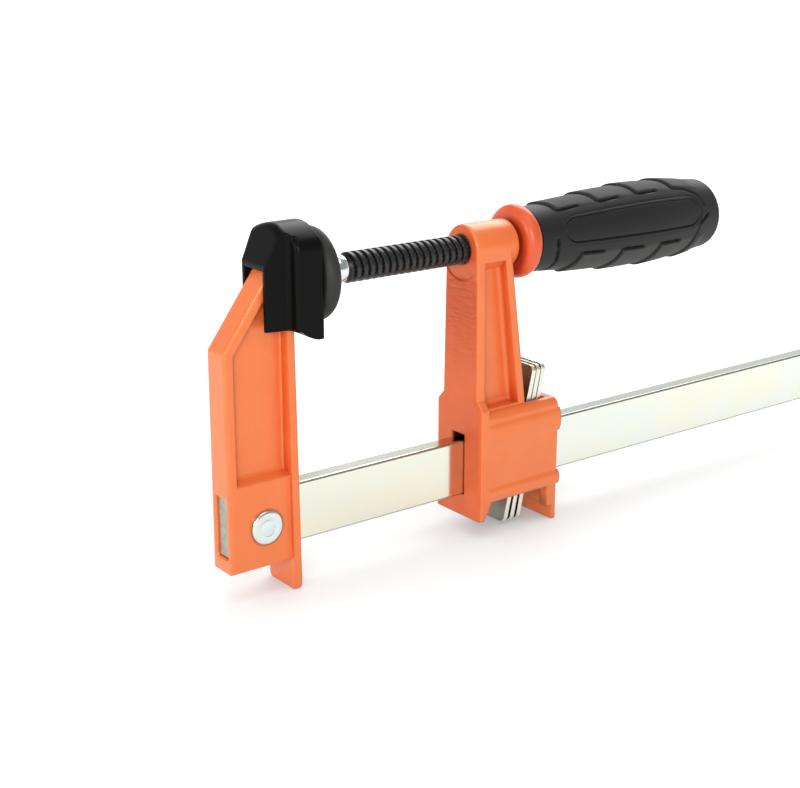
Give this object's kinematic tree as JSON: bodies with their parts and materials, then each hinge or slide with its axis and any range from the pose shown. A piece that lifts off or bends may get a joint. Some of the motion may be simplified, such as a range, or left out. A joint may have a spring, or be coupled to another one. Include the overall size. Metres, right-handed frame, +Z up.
{
  "type": "bar clamp",
  "caption": "Bar clamp with a riveted fixed jaw, a sliding jaw locked by tilting clutch plates, and a screw with swivel pad and grip handle.",
  "frame": {"origin": "middle of the fixed jaw's foot, on the surface that it stands on", "axes": "+X along the bar from the fixed jaw towards the handle, +Z up, Y across the bar"},
  "size_m": [0.3919, 0.0284, 0.113],
  "materials": {
    "zinc_steel": "bright zinc plate",
    "plate_steel": "ground zinc plate",
    "spring_steel": "bare spring steel",
    "orange_paint": "glossy orange enamel over a casting",
    "black_plastic": "satin moulded",
    "orange_plastic": "satin moulded",
    "black_rubber": "soft matte",
    "black_steel": "black oxide"
  },
  "bodies": {
    "frame": {"bar": "zinc_steel", "bar_stop_pin": "spring_steel", "fixed_jaw": "orange_paint", "jaw_rivet": "zinc_steel", "fixed_pad": "black_plastic"},
    "slider": {"sliding_jaw": "orange_paint", "clutch_spring": "spring_steel"},
    "plate_front": {"clutch_plate_front": "plate_steel"},
    "plate_middle": {"clutch_plate_middle": "plate_steel"},
    "plate_rear": {"clutch_plate_rear": "plate_steel"},
    "swivel": {"swivel_ball": "zinc_steel"},
    "spindle": {"screw": "black_steel", "handle_core": "orange_plastic", "handle_grip": "black_rubber"},
    "pad": {"swivel_pad": "black_plastic"}
  },
  "joints": [
    {"name": "jaw_slide", "type": "slide", "parent": "frame", "child": "slider", "axis": [1, 0, 0], "range_m": [0, 0.2577]},
    {"name": "plate_front_tilt", "type": "hinge", "parent": "slider", "child": "plate_front", "pos_m": [0.0905, 0, 0.0354], "axis": [0, -1, 0], "range_deg": [0, 7], "stiffness_Nm_per_rad": 0.6, "springref_deg": -17.19, "deforming": ["clutch_spring"]},
    {"name": "plate_middle_tilt", "type": "hinge", "parent": "slider", "child": "plate_middle", "pos_m": [0.09284, 0, 0.0354], "axis": [0, -1, 0], "range_deg": [0, 7]},
    {"name": "plate_rear_tilt", "type": "hinge", "parent": "slider", "child": "plate_rear", "pos_m": [0.09518, 0, 0.0354], "axis": [0, -1, 0], "range_deg": [0, 7]},
    {"name": "screw_feed", "type": "slide", "parent": "slider", "child": "swivel", "axis": [1, 0, 0], "range_m": [0, 0.039]},
    {"name": "screw_turn", "type": "hinge", "parent": "swivel", "child": "spindle", "pos_m": [0.1, 0, 0.0964], "axis": [1, 0, 0], "range_deg": [0, 5400]},
    {"name": "pad_swivel", "type": "hinge", "parent": "swivel", "child": "pad", "pos_m": [0.0166, 0, 0.0964], "axis": [0, 1, 0], "range_deg": [-4, 4]}
  ],
  "couplings": [
    {"joint": "plate_middle_tilt", "follows": "plate_front_tilt", "ratio": 1},
    {"joint": "plate_rear_tilt", "follows": "plate_front_tilt", "ratio": 1},
    {"joint": "screw_feed", "follows": "screw_turn", "m_per_rad": 0.0004138}
  ]
}
